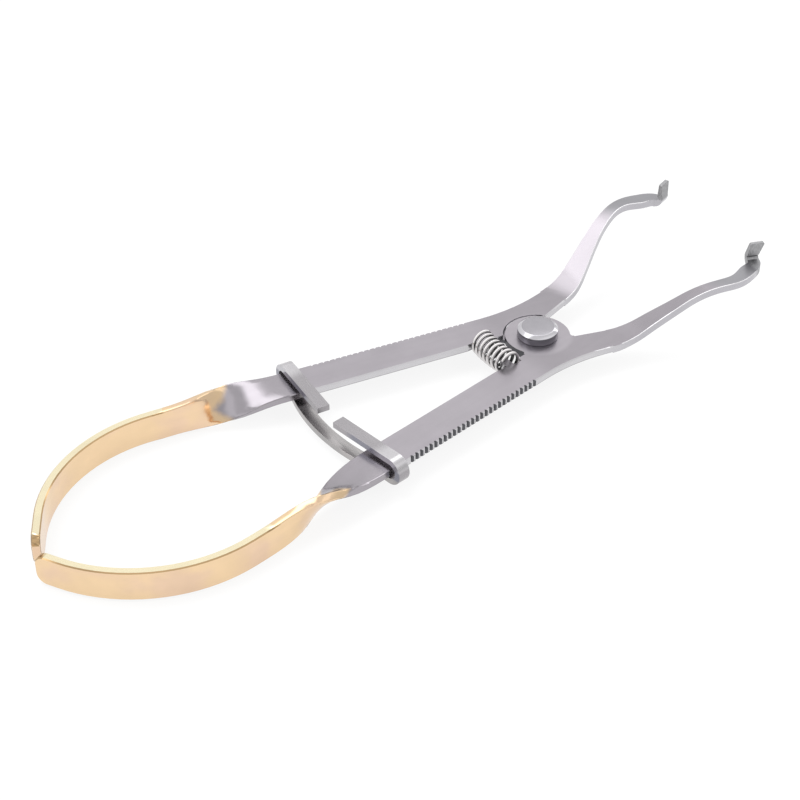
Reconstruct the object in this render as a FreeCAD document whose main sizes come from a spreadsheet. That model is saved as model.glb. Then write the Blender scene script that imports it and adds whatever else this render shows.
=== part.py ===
import FreeCAD, Part
import math
import os
import Sketcher

# Reverse-action spring forceps with half-lap joint, toothed handles, on-edge bows and a sliding lock.
# Frame: +X to the jaws, +Z up, origin at the centre of the lower rivet head's face.

os.makedirs("parts", exist_ok=True)
doc = FreeCAD.newDocument("Forceps")
V = FreeCAD.Vector

SIZES = [
    ("plateThick", 1.8, "thickness of both levers' flat stretch"),
    ("lapGap", 0.04, "clearance between the two half-lap faces"),
    ("handleTilt", 9.5, "angle of each handle to the middle line, degrees"),
    ("handleWidth", 8.4, "width of the flat handle"),
    ("handleOffset", 7.05, "handle centre line to pivot, square to the handle"),
    ("flatLength", 55.2, "pivot to the start of the twist, along the handle"),
    ("edgeBevel", 0.25, "bevel along the edges"),
    ("neckRadius", 45.0, "outer edge of the lever beside the joint"),
    ("toothPitch", 1.38, "spacing of the notches"),
    ("toothDepth", 0.6, "depth of a notch"),
    ("toothMouth", 0.95, "width of a notch at the edge"),
    ("toothStart", 13.2, "first notch, along the handle"),
    ("toothCount", 28, "notches on each handle"),
    ("bossRadius", 7.35, "round boss of the half lap"),
    ("bossGap", 0.45, "radial gap round the boss"),
    ("bossFillet", 0.7, "fillet between boss and lever"),
    ("shankRadius", 2.5, "rivet shank"),
    ("boreGap", 0.03, "radial clearance of the rivet in its bore"),
    ("headRadius", 4.65, "rivet head"),
    ("headHeight", 1.88, "rivet head above the plate"),
    ("headBevel", 0.75, "bevel round the rivet head"),
    ("headGap", 0.04, "clearance under a rivet head"),
    ("springX", -12.1, "spring axis from the pivot"),
    ("springRise", 0.9, "spring axis above the levers' middle plane"),
    ("coilRadius", 2.6, "mean radius of the spring coil"),
    ("wireRadius", 0.4, "spring wire"),
    ("coilTurns", 7.4, "turns of the spring"),
    ("seatDepth", 5.75, "middle line to the floor of a spring seat"),
    ("seatGap", 0.08, "coil end to seat floor"),
    ("seatSide", 0.15, "room beside the coil in its seat"),
    ("tangWidth", 2.0, "tongue that holds the coil"),
    ("tangLength", 3.0, "tongue from the seat floor"),
    ("jawHeading", 24.6, "outward heading of the jaw, square to its two bends, degrees"),
    ("jawRoot", 15.6, "pivot to the start of the jaw, along the heading"),
    ("jawRootInner", 7.25, "inner edge at the start of the jaw"),
    ("jawRootOuter", 13.18, "outer edge at the start of the jaw"),
    ("riseStart", 19.93, "pivot to the upward bend, along the heading"),
    ("riseRadius", 14.0, "bend radius there"),
    ("inclineAngle", 31.5, "slope of the jaw, degrees"),
    ("jawRise", 10.7, "level end of the jaw above the plate"),
    ("ridgeRadius", 20.0, "bend radius back to level"),
    ("footX", 18.1, "station at the foot of the slope"),
    ("footInner", 8.6, "inner edge there"),
    ("footOuter", 14.6, "outer edge there"),
    ("slopeX", 27.0, "station half way up"),
    ("slopeInner", 13.26, "inner edge there"),
    ("slopeOuter", 17.4, "outer edge there"),
    ("ridgeX", 34.0, "station where the slope ends"),
    ("ridgeInner", 16.6, "inner edge there"),
    ("ridgeOuter", 19.75, "outer edge there"),
    ("hookX", 41.2, "widest station of the curved end"),
    ("hookInner", 18.05, "inner edge there"),
    ("hookOuter", 21.35, "outer edge there"),
    ("shoulderX", 46.6, "outer edge after the turn"),
    ("shoulderOuter", 19.95, "outer edge after the turn"),
    ("elbowX", 45.6, "inner edge after the turn"),
    ("elbowInner", 16.65, "inner edge after the turn"),
    ("tipX", 49.1, "upturned tip"),
    ("tipY", 15.3, "upturned tip from the middle line"),
    ("tipHeading", 69.5, "direction of the strip where it turns up, degrees"),
    ("tipHeight", 4.1, "tip above the level strip"),
    ("tipThick", 1.3, "thickness of the tip"),
    ("tipRoot", 2.8, "width of the tip at its root"),
    ("padRoot", 2.75, "width of the gripping pad at the groove"),
    ("padTop", 3.4, "width of the gripping pad at the top"),
    ("padLean", 0.75, "sideways lean of the pad's top"),
    ("padProud", 0.15, "pad above the tip's face"),
    ("padCorner", 0.45, "rounding of the pad's top corners"),
    ("grooveHeight", 0.35, "groove under the pad"),
    ("grooveDepth", 0.25, "groove under the pad"),
    ("tipInnerBend", 0.6, "inside radius of the tip's bend"),
    ("tipOuterBend", 2.5, "outside radius of the tip's bend"),
    ("twistLength", 33.0, "length of the quarter turn"),
    ("bowThick", 1.85, "thickness of the bow"),
    ("bowHeight", 7.0, "height of the bow, on edge"),
    ("bowDrop", 1.4, "bow centre below the plate's middle plane"),
    ("bowOffset", 8.25, "bow's straight stretch to pivot, square to the handle"),
    ("bowStraight", 0.4, "straight run between the twist and the bend of the upper bow"),
    ("bowUneven", 2.8, "bend starts that much later on the lower bow, its end being shorter"),
    ("bowRadius", 33.1, "bend radius of the bow"),
    ("bowSweep", 69.4, "angle that the bow turns, degrees"),
    ("bowEnd", 7.6, "straight end of the upper bow"),
    ("bowCorner", 2.4, "rounding of the bow's free corners"),
    ("bandWidth", 2.9, "width of the lock's band"),
    ("bandThick", 1.4, "thickness of the lock's band"),
    ("bandGap", 0.85, "lock's band to the plate, above and below"),
    ("lockX", -55.7, "where the lines of the lock's two tails meet"),
    ("lockTilt", 7.4, "angle of each tail to the line across the tool, degrees"),
    ("lockSkew", 1.8, "the lock sits a little askew on the handles, degrees"),
    ("hookCentre", 19.7, "centre of the lock's hook, along the tail's line"),
    ("footEnd", 16.2, "end of the hook's lower leg, along the tail's line"),
    ("tailEnd", 2.7, "end of the lock's tail, along its line"),
    ("underX", -56.2, "lowest cross band at the middle line"),
    ("underRadius", 48.0, "plan radius of the cross band"),
    ("underReach", 17.0, "half length of the cross band"),
]

sheet = doc.addObject("Spreadsheet::Sheet", "Sizes")
for row, (alias, number, note) in enumerate(SIZES, start=1):
    sheet.set("A%d" % row, alias)
    sheet.set("B%d" % row, str(number))
    sheet.set("C%d" % row, note)
    sheet.setAlias("B%d" % row, alias)
doc.recompute()


def size(alias):
    return float(sheet.get(alias))


TILT = math.radians(size("handleTilt"))
HALF = size("plateThick") / 2
LAP = size("lapGap") / 2
UPPER, LOWER = 1, -1


def handlePoint(along, out, side, z=0.0):
    """Point on a handle: along it from the pivot, and square to it outwards."""
    x = -along * math.cos(TILT) + out * math.sin(TILT)
    y = along * math.sin(TILT) + out * math.cos(TILT)
    return V(x, side * y, z)


def mirrored(points, side):
    return [V(x, side * y, 0) for x, y in points]


def flipped(points, side):
    return [V(p.x, side * p.y, 0) for p in points]


def corner(centre, radius, degrees):
    return V(centre.x + radius * math.cos(math.radians(degrees)),
             centre.y + radius * math.sin(math.radians(degrees)), 0)


# Sketch helpers

def originPlane(body, role):
    return next(f for f in body.Origin.OriginFeatures if f.Role == role)


def bodySketch(body, name, z=0.0, turn=0.0):
    sketch = body.newObject("Sketcher::SketchObject", name)
    sketch.AttachmentSupport = [(originPlane(body, "XY_Plane"), "")]
    sketch.MapMode = "FlatFace"
    sketch.AttachmentOffset = FreeCAD.Placement(V(0, 0, z), FreeCAD.Rotation(V(0, 0, 1), turn))
    return sketch


def freeSketch(name, origin, xAxis, yAxis):
    sketch = doc.addObject("Sketcher::SketchObject", name)
    normal = xAxis.cross(yAxis)
    sketch.Placement = FreeCAD.Placement(origin, FreeCAD.Rotation(xAxis, yAxis, normal, "XYZ"))
    return sketch


def closePath(sketch, curves):
    """Adds the curves end to end and ties each to the next, and the last to the first."""
    first = sketch.GeometryCount
    for curve in curves:
        sketch.addGeometry(curve, False)
    ends = [(sketch.getPoint(first + i, 1), sketch.getPoint(first + i, 2)) for i in range(len(curves))]
    flipped = flipFlags(ends)
    count = len(curves)
    for i in range(count):
        j = (i + 1) % count
        endPos = 1 if flipped[i] else 2
        startPos = 2 if flipped[j] else 1
        sketch.addConstraint(Sketcher.Constraint("Coincident", first + i, endPos, first + j, startPos))


def flipFlags(ends):
    """True where a curve runs against the order in which the path is listed."""
    flags = []
    for i, (start, end) in enumerate(ends):
        nextPair = ends[(i + 1) % len(ends)]
        toNext = min(end.distanceToPoint(p) for p in nextPair)
        flags.append(toNext > min(start.distanceToPoint(p) for p in nextPair))
    return flags


def line(a, b):
    return Part.LineSegment(a, b)


def arc(a, middle, b):
    return Part.Arc(a, middle, b)


def polygon(points):
    return [line(p, points[(i + 1) % len(points)]) for i, p in enumerate(points)]


def spline(points, startDir, endDir):
    curve = Part.BSplineCurve()
    curve.interpolate(Points=points, InitialTangent=startDir, FinalTangent=endDir)
    return curve


def extrude(name, sketch, direction, lengthExpression, symmetric=False):
    solid = doc.addObject("Part::Extrusion", name)
    solid.Base = sketch
    solid.DirMode = "Custom"
    solid.Dir = direction
    solid.Solid = True
    solid.Symmetric = symmetric
    solid.setExpression("LengthFwd", lengthExpression)
    return solid


def boolean(kind, name, shapes):
    result = doc.addObject("Part::" + kind, name)
    result.Shapes = shapes
    result.Refine = True
    return result


def dressEdges(kind, name, base, chosen, amount):
    """Rounds or bevels the chosen edges of a solid."""
    doc.recompute()
    dressed = doc.addObject("Part::" + kind, name)
    dressed.Base = base
    dressed.Edges = [(i + 1, amount, amount) for i, e in enumerate(base.Shape.Edges) if chosen(e)]
    return dressed


def levelEdge(edge, heights):
    box = edge.BoundBox
    return box.ZLength < 1e-4 and any(abs(box.ZMin - z) < 1e-4 for z in heights)


def jawEdge(name):
    """Root and foot of one edge of the jaw; the root lies on the line where plate and jaw meet."""
    heading = math.radians(size("jawHeading"))
    y = size("jawRoot" + name)
    root = V((size("jawRoot") - y * math.sin(heading)) / math.cos(heading), y, 0)
    return root, V(size("footX"), size("foot" + name), 0)


def edgesCross(offset, name):
    """Crossing of a handle edge and a jaw edge, and the slope of the jaw edge."""
    a = handlePoint(0, offset, 1)
    handleSlope = -math.tan(TILT)
    root, foot = jawEdge(name)
    jawSlope = (foot.y - root.y) / (foot.x - root.x)
    x = (root.y - jawSlope * root.x - a.y + handleSlope * a.x) / (handleSlope - jawSlope)
    return V(x, a.y + handleSlope * (x - a.x), 0), jawSlope


def outerNeck(side):
    """Tangent points and middle of the round between the outer edges of handle and jaw."""
    cross, jawSlope = edgesCross(size("handleOffset") + size("handleWidth") / 2, "Outer")
    jawAngle = math.atan(jawSlope)
    turn = (TILT + jawAngle) / 2
    radius = size("neckRadius")
    reach = radius * math.tan(turn)
    towards = math.radians(90) + (jawAngle - TILT) / 2
    middle = cross + V(math.cos(towards), math.sin(towards), 0) * (radius / math.cos(turn) - radius)
    start = cross + V(-math.cos(TILT), math.sin(TILT), 0) * reach
    end = cross + V(math.cos(jawAngle), math.sin(jawAngle), 0) * reach
    return flipped([start, middle, end], side)


def plateOutline(side):
    inner = size("handleOffset") - size("handleWidth") / 2
    outer = size("handleOffset") + size("handleWidth") / 2
    tailIn = handlePoint(size("flatLength"), inner, side)
    tailOut = handlePoint(size("flatLength"), outer, side)
    neckStart, neckMiddle, neckEnd = outerNeck(side)
    innerCross, _ = edgesCross(inner, "Inner")
    rootIn, rootOut, innerCorner = flipped([jawEdge("Inner")[0], jawEdge("Outer")[0], innerCross], side)
    return [line(tailOut, neckStart), arc(neckStart, neckMiddle, neckEnd), line(neckEnd, rootOut),
            line(rootOut, rootIn), line(rootIn, innerCorner), line(innerCorner, tailIn), line(tailIn, tailOut)]


def bossOutline(side):
    """Boss disk with its two fillets into the lever's inner edge."""
    radius = size("bossRadius")
    fillet = size("bossFillet")
    outward = radius + fillet
    innerOffset = size("handleOffset") - size("handleWidth") / 2
    along = math.sqrt(outward ** 2 - (innerOffset - fillet) ** 2)
    handleCentre = handlePoint(along, innerOffset - fillet, side)
    handleFoot = handlePoint(along, innerOffset, side)
    rootIn, footIn = jawEdge("Inner")
    jawDir = (footIn - rootIn).normalize()
    jawOut = V(-jawDir.y, jawDir.x, 0)
    jawOffset = rootIn.dot(jawOut)
    jawAlong = math.sqrt(outward ** 2 - (jawOffset - fillet) ** 2)
    jawCentre = jawDir * jawAlong + jawOut * (jawOffset - fillet)
    jawFoot = jawCentre + jawOut * fillet
    jawCentre, jawFoot = flipped([jawCentre, jawFoot], side)

    def onDisk(centre):
        return centre * (radius / outward)

    def filletArc(centre, foot):
        a = onDisk(centre)
        middle = centre + ((a - centre) + (foot - centre)).normalize() * fillet
        return a, middle, foot

    handleTouch, handleMiddle, _ = filletArc(handleCentre, handleFoot)
    jawTouch, jawMiddle, _ = filletArc(jawCentre, jawFoot)
    inside = V(0, side * size("handleOffset"), 0)
    free = V(0, -side * radius, 0)
    return [arc(handleTouch, free, jawTouch), arc(jawTouch, jawMiddle, jawFoot), line(jawFoot, inside),
            line(inside, handleFoot), arc(handleFoot, handleMiddle, handleTouch)]


def circleSketch(body, name, expression, z=0.0):
    sketch = bodySketch(body, name, z)
    sketch.addGeometry(Part.Circle(V(0, 0, 0), V(0, 0, 1), 1.0), False)
    sketch.addConstraint(Sketcher.Constraint("Coincident", 0, 3, -1, 1))
    index = sketch.addConstraint(Sketcher.Constraint("Radius", 0, 1.0))
    sketch.renameConstraint(index, "radius")
    sketch.setExpression("Constraints.radius", expression)
    return sketch


def rectangle(left, right, low, high, side):
    return polygon(mirrored([(left, low), (right, low), (right, high), (left, high)], side))


def flatPlate(prefix, side):
    """Flat stretch of a lever with its half of the lap joint, spring seat and notched edge."""
    layer = -side
    body = doc.addObject("PartDesign::Body", prefix + "Plate")
    doc.recompute()

    outline = bodySketch(body, prefix + "PlateOutline")
    closePath(outline, plateOutline(side))
    plate = body.newObject("PartDesign::Pad", prefix + "PlatePad")
    plate.Profile = outline
    plate.Midplane = True
    plate.setExpression("Length", "Sizes.plateThick")
    doc.recompute()

    tail = handlePoint(size("flatLength"), size("handleOffset"), side)
    rootIn, rootOut = flipped([jawEdge("Inner")[0], jawEdge("Outer")[0]], side)
    root = (rootIn + rootOut) * 0.5

    def longEdge(edge):
        centre = edge.CenterOfMass
        atEnd = any(centre.distanceToPoint(V(p.x, p.y, centre.z)) < 1.0 for p in (tail, root))
        return levelEdge(edge, (-HALF, HALF)) and not atEnd

    names = ["Edge%d" % (i + 1) for i, e in enumerate(plate.Shape.Edges) if longEdge(e)]
    bevelled = body.newObject("PartDesign::Chamfer", prefix + "PlateBevel")
    bevelled.Base = (plate, names)
    bevelled.setExpression("Size", "Sizes.edgeBevel")
    doc.recompute()

    lapPlane = layer * LAP
    recessSketch = circleSketch(body, prefix + "RecessOutline", "Sizes.bossRadius + Sizes.bossGap", lapPlane)
    recess = body.newObject("PartDesign::Pocket", prefix + "Recess")
    recess.Profile = recessSketch
    recess.Reversed = layer < 0
    recess.setExpression("Length", "Sizes.plateThick")

    bossSketch = bodySketch(body, prefix + "BossOutline", lapPlane)
    closePath(bossSketch, bossOutline(side))
    boss = body.newObject("PartDesign::Pad", prefix + "Boss")
    boss.Profile = bossSketch
    boss.Reversed = layer < 0
    boss.setExpression("Length", "Sizes.plateThick / 2 - Sizes.lapGap / 2")

    boreSketch = circleSketch(body, prefix + "BoreOutline", "Sizes.shankRadius + Sizes.boreGap")
    bore = body.newObject("PartDesign::Pocket", prefix + "Bore")
    bore.Profile = boreSketch
    bore.Midplane = True
    bore.setExpression("Length", "Sizes.plateThick * 2")

    coilOuter = size("coilRadius") + size("wireRadius") + size("seatSide")
    axisX = size("springX")
    seatSketch = bodySketch(body, prefix + "SeatOutline")
    closePath(seatSketch, rectangle(axisX - coilOuter, axisX + coilOuter, 0, size("seatDepth"), side))
    seat = body.newObject("PartDesign::Pocket", prefix + "Seat")
    seat.Profile = seatSketch
    seat.Midplane = True
    seat.setExpression("Length", "Sizes.plateThick * 2")

    tangHalf = size("tangWidth") / 2
    tangEnd = size("seatDepth") - size("tangLength")
    base, tipLine = size("seatDepth") + size("edgeBevel"), tangEnd + tangHalf
    tangPoints = mirrored([(axisX + tangHalf, base), (axisX - tangHalf, base),
                           (axisX - tangHalf, tipLine), (axisX + tangHalf, tipLine)], side)
    tangTip = V(axisX, side * tangEnd, 0)
    tangSketch = bodySketch(body, prefix + "TangOutline")
    closePath(tangSketch, [line(tangPoints[0], tangPoints[1]), line(tangPoints[1], tangPoints[2]),
                           arc(tangPoints[2], tangTip, tangPoints[3]), line(tangPoints[3], tangPoints[0])])
    tang = body.newObject("PartDesign::Pad", prefix + "Tang")
    tang.Profile = tangSketch
    tang.Midplane = True
    tang.setExpression("Length", "Sizes.plateThick")

    outer = size("handleOffset") + size("handleWidth") / 2
    start = size("toothStart") + (size("toothCount") - 1) * size("toothPitch")
    half = size("toothMouth") / 2
    proud = size("edgeBevel")
    flare = half * (1 + proud / size("toothDepth"))
    toothSketch = bodySketch(body, prefix + "ToothOutline", turn=-side * size("handleTilt"))
    closePath(toothSketch, polygon([V(-start - flare, side * (outer + proud), 0),
                                    V(-start, side * (outer - size("toothDepth")), 0),
                                    V(-start + flare, side * (outer + proud), 0)]))
    tooth = body.newObject("PartDesign::Pocket", prefix + "Tooth")
    tooth.Profile = toothSketch
    tooth.Midplane = True
    tooth.setExpression("Length", "Sizes.plateThick * 2")
    doc.recompute()
    teeth = body.newObject("PartDesign::LinearPattern", prefix + "Teeth")
    teeth.Originals = [tooth]
    teeth.Direction = (toothSketch, ["H_Axis"])
    teeth.Mode = "Spacing"
    teeth.setExpression("Offset", "Sizes.toothPitch")
    teeth.setExpression("Occurrences", "Sizes.toothCount")
    body.Tip = teeth
    doc.recompute()
    return body


def bentStrip(corners, radii, half):
    """Closed outline of a strip of even thickness along a bent centre line."""
    upper, lower = [], []
    for shift, curves in ((half, upper), (-half, lower)):
        last = None
        for i in range(len(corners) - 1):
            a, b = corners[i], corners[i + 1]
            direction = (b - a).normalize()
            normal = V(-direction.y, direction.x, 0)
            start = last or a + normal * shift
            if i == len(corners) - 2:
                curves.append(line(start, b + normal * shift))
                break
            nextDir = (corners[i + 2] - b).normalize()
            nextNormal = V(-nextDir.y, nextDir.x, 0)
            turn = math.asin(direction.x * nextDir.y - direction.y * nextDir.x)
            reach = radii[i] * math.tan(abs(turn) / 2)
            bendSide = 1 if turn > 0 else -1
            centre = b - direction * reach + normal * (bendSide * radii[i])
            radius = radii[i] - bendSide * shift
            arcStart = centre - normal * (bendSide * radius)
            arcEnd = centre - nextNormal * (bendSide * radius)
            arcMiddle = centre - (normal + nextNormal).normalize() * (bendSide * radius)
            curves.append(line(start, arcStart))
            curves.append(arc(arcStart, arcMiddle, arcEnd))
            last = arcEnd
    first = line(lower[0].StartPoint, upper[0].StartPoint)
    end = line(upper[-1].EndPoint, lower[-1].EndPoint)
    return [first] + upper + [end] + list(reversed(lower))


def jawStrip(prefix, side):
    """Jaw: a strip bent twice square to its heading and trimmed to its plan outline."""
    slope = math.tan(math.radians(size("inclineAngle")))
    turned = math.radians(size("jawHeading"))
    rise, riseStart = size("jawRise"), size("riseStart")
    reach = size("tipX") + size("handleWidth")
    top = riseStart + rise / slope
    corners = [V(size("jawRoot"), 0, 0), V(riseStart, 0, 0), V(top, rise, 0), V(reach, rise, 0)]
    forward = V(math.cos(turned), side * math.sin(turned), 0)
    sideways = V(-math.sin(turned), side * math.cos(turned), 0)
    profile = freeSketch(prefix + "JawProfile", V(0, 0, 0), forward, V(0, 0, 1))
    closePath(profile, bentStrip(corners, [size("riseRadius"), size("ridgeRadius")], HALF))
    bent = extrude(prefix + "JawBent", profile, sideways, "Sizes.hookOuter * 2", symmetric=True)

    heading = math.radians(size("tipHeading"))
    along = V(math.cos(heading), -math.sin(heading), 0)
    across = V(math.sin(heading), math.cos(heading), 0)
    back = size("tipThick") / 2 + size("tipInnerBend")
    foot = V(size("tipX"), size("tipY"), 0) - along * back
    half = size("tipRoot") / 2
    edges = []
    for name, turnName, sign in (("Inner", "elbow", -1), ("Outer", "shoulder", 1)):
        root, first = jawEdge(name)
        stations = [root, first] + [V(size(spot + "X"), size(spot + name), 0)
                                    for spot in ("slope", "ridge", "hook", turnName)]
        last = foot + across * (sign * half)
        edges.append(spline(flipped(stations + [last], side), *flipped([first - root, along * 4], side)))
    inner, outer = edges
    outline = freeSketch(prefix + "JawOutline", V(0, 0, -size("plateThick")), V(1, 0, 0), V(0, 1, 0))
    closePath(outline, [inner, line(inner.EndPoint, outer.EndPoint),
                        outer, line(outer.StartPoint, inner.StartPoint)])
    trim = extrude(prefix + "JawTrim", outline, V(0, 0, 1), "Sizes.jawRise + Sizes.plateThick * 3")
    strip = doc.addObject("Part::MultiCommon", prefix + "Jaw")
    strip.Shapes = [bent, trim]
    return strip


def jawTip(prefix, side):
    """Upturned tip: bent up across the strip, with a grooved pad on its outward face."""
    heading = math.radians(size("tipHeading"))
    along = V(math.cos(heading), -side * math.sin(heading), 0)
    across = V(math.sin(heading), side * math.cos(heading), 0)
    up = V(0, 0, 1)
    centre = V(size("tipX"), side * size("tipY"), 0)
    rise, thick = size("jawRise"), size("tipThick") / 2
    top = rise + HALF + size("tipHeight")
    innerBend, outerBend = size("tipInnerBend"), size("tipOuterBend")
    start = -thick - innerBend
    face, outer = -thick, thick
    deep, proud = face + size("grooveDepth"), face - size("padProud")
    grooveLow = rise + HALF + innerBend
    grooveHigh = grooveLow + size("grooveHeight")
    arcMiddle = math.sqrt(0.5)
    innerCentre = V(start, rise + HALF + innerBend, 0)
    outerCentre = V(outer - outerBend, rise - HALF + outerBend, 0)
    points = [V(face, grooveLow, 0), V(deep, grooveLow, 0), V(deep, grooveHigh, 0), V(proud, grooveHigh, 0),
              V(proud, top, 0), V(outer, top, 0), V(outer, outerCentre.y, 0)]
    startTop, startLow = V(start, rise + HALF, 0), V(start, rise - HALF, 0)
    profile = freeSketch(prefix + "TipProfile", centre, along, up)
    curves = [line(startLow, startTop),
              arc(startTop, innerCentre + V(arcMiddle, -arcMiddle, 0) * innerBend, points[0])]
    curves += [line(points[i], points[i + 1]) for i in range(len(points) - 1)]
    curves.append(arc(points[-1], outerCentre + V(arcMiddle, -arcMiddle, 0) * outerBend,
                      V(outerCentre.x, rise - HALF, 0)))
    curves.append(line(V(outerCentre.x, rise - HALF, 0), startLow))
    closePath(profile, curves)
    thickness = extrude(prefix + "TipBent", profile, across, "Sizes.tipRoot * 4", symmetric=True)

    root, low, high = size("tipRoot") / 2, size("padRoot") / 2, size("padTop") / 2
    lean, round_ = size("padLean"), size("padCorner")
    bottom = rise - 2 * HALF
    front = freeSketch(prefix + "TipFront", centre - along * size("tipRoot") * 2, across, up)
    left = [V(-root, bottom, 0), V(-root, rise + HALF, 0), V(-low, grooveHigh, 0),
            V(lean - high, top - round_, 0)]
    right = [V(root, bottom, 0), V(root, rise + HALF, 0), V(low, grooveHigh, 0),
             V(lean + high, top - round_, 0)]
    leftTop, rightTop = V(lean - high + round_, top, 0), V(lean + high - round_, top, 0)
    bulge = round_ * (1 - arcMiddle)
    leftRound = arc(left[-1], V(lean - high + bulge, top - bulge, 0), leftTop)
    rightRound = arc(rightTop, V(lean + high - bulge, top - bulge, 0), right[-1])
    curves = [line(left[i], left[i + 1]) for i in range(3)] + [leftRound, line(leftTop, rightTop), rightRound]
    curves += [line(right[i + 1], right[i]) for i in (2, 1, 0)] + [line(right[0], left[0])]
    closePath(front, curves)
    width = extrude(prefix + "TipWidth", front, along, "Sizes.tipRoot * 4")
    tip = doc.addObject("Part::MultiCommon", prefix + "Tip")
    tip.Shapes = [thickness, width]
    return tip


def bevelledRectangle(x, y, bevel):
    corners = [(-x + bevel, -y), (x - bevel, -y), (x, -y + bevel), (x, y - bevel),
               (x - bevel, y), (-x + bevel, y), (-x, y - bevel), (-x, -y + bevel)]
    return polygon([V(px, py, 0) for px, py in corners])


def ease(share):
    return share * share * (3 - 2 * share)


TWIST_STEPS = 8


def twist(prefix, side):
    """Quarter turn of the strip from flat to on edge, the handle's outer edge turning up."""
    sections = []
    for i in range(TWIST_STEPS + 1):
        share = i / TWIST_STEPS
        shift = ease(share)
        along = size("flatLength") + share * size("twistLength")
        out = size("handleOffset") + shift * (size("bowOffset") - size("handleOffset"))
        z = -shift ** 2 * size("bowDrop")
        wide = size("handleWidth") + shift * (size("bowHeight") - size("handleWidth"))
        thick = size("plateThick") + shift * (size("bowThick") - size("plateThick"))
        angle = math.radians(90 * ease(shift))
        outward = V(math.sin(TILT), side * math.cos(TILT), 0)
        wideAxis = outward * math.cos(angle) + V(0, 0, math.sin(angle))
        thickAxis = V(0, 0, math.cos(angle)) - outward * math.sin(angle)
        centre = handlePoint(along, out, side, z)
        section = freeSketch("%sTwist%d" % (prefix, i), centre, wideAxis, thickAxis)
        closePath(section, bevelledRectangle(wide / 2, thick / 2, size("edgeBevel")))
        sections.append(section)
    loft = doc.addObject("Part::Loft", prefix + "Twist")
    loft.Sections = sections
    loft.Solid = True
    loft.Ruled = False
    return loft


def bow(prefix, side):
    """Half bow on edge: straight, bent inwards, and straight to its rounded free end."""
    start = size("flatLength") + size("twistLength")
    late = size("bowUneven") if side == LOWER else 0.0
    bendStart = start + size("bowStraight") + late
    endLength = size("bowEnd") - late
    radius, offset = size("bowRadius"), size("bowOffset")
    sweep = math.radians(size("bowSweep"))
    half = size("bowThick") / 2

    def onBend(angle, shift):
        return handlePoint(bendStart + (radius + shift) * math.sin(angle),
                           offset - radius + (radius + shift) * math.cos(angle), side)

    endDir = handlePoint(math.cos(sweep), -math.sin(sweep), side)
    edges = []
    for shift in (half, -half):
        a = handlePoint(start, offset + shift, side)
        b, middle, c = [onBend(angle, shift) for angle in (0, sweep / 2, sweep)]
        edges.append((a, b, middle, c, c + endDir * endLength))
    outer, inner = edges
    outline = freeSketch(prefix + "BowOutline", V(0, 0, -size("bowDrop") - size("bowHeight") / 2),
                         V(1, 0, 0), V(0, 1, 0))
    closePath(outline, [line(outer[0], outer[1]), arc(*outer[1:4]), line(outer[3], outer[4]),
                        line(outer[4], inner[4]), line(inner[4], inner[3]), arc(inner[3], inner[2], inner[1]),
                        line(inner[1], inner[0]), line(inner[0], outer[0])])
    strip = extrude(prefix + "BowStrip", outline, V(0, 0, 1), "Sizes.bowHeight")
    free = (outer[4] + inner[4]) * 0.5
    joint = (outer[0] + inner[0]) * 0.5
    low = -size("bowDrop") - size("bowHeight") / 2
    high = low + size("bowHeight")

    def freeCorner(edge):
        centre = edge.CenterOfMass
        return levelEdge(edge, (low, high)) and centre.distanceToPoint(V(free.x, free.y, centre.z)) < 0.1

    cornered = dressEdges("Fillet", prefix + "BowCorners", strip, freeCorner, size("bowCorner"))

    def longEdge(edge):
        centre = edge.CenterOfMass
        onTop = levelEdge(edge, (low, high))
        return onTop and centre.distanceToPoint(V(joint.x, joint.y, centre.z)) > half

    return dressEdges("Chamfer", prefix + "Bow", cornered, longEdge, size("edgeBevel"))


def lever(label, side):
    prefix = "Upper" if side == UPPER else "Lower"
    pieces = [flatPlate(prefix, side), jawStrip(prefix, side), jawTip(prefix, side),
              twist(prefix, side), bow(prefix, side)]
    whole = boolean("MultiFuse", prefix + "Lever", pieces)
    whole.Label = label
    whole.setExpression("Placement.Base.z", "Sizes.headHeight + Sizes.plateThick / 2")
    return whole


def rivet():
    body = doc.addObject("PartDesign::Body", "RivetBody")
    body.Label = "rivet"
    doc.recompute()
    sketch = body.newObject("Sketcher::SketchObject", "RivetProfile")
    sketch.AttachmentSupport = [(originPlane(body, "XZ_Plane"), "")]
    sketch.MapMode = "FlatFace"
    headLow, headTop = size("headHeight"), size("headHeight") + size("plateThick")
    top = headTop + size("headHeight")
    bevel, gap = size("headBevel"), size("headGap")
    head, shank = size("headRadius"), size("shankRadius")
    drop = bevel * 0.8
    points = [(0, 0), (head - bevel, 0), (head, drop), (head, headLow - gap), (shank, headLow - gap),
              (shank, headTop + gap), (head, headTop + gap), (head, top - drop), (head - bevel, top), (0, top)]
    closePath(sketch, polygon([V(x, z, 0) for x, z in points]))
    turned = body.newObject("PartDesign::Revolution", "RivetTurned")
    turned.Profile = sketch
    turned.ReferenceAxis = (sketch, ["V_Axis"])
    turned.Angle = 360
    body.Tip = turned
    return body


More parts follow.
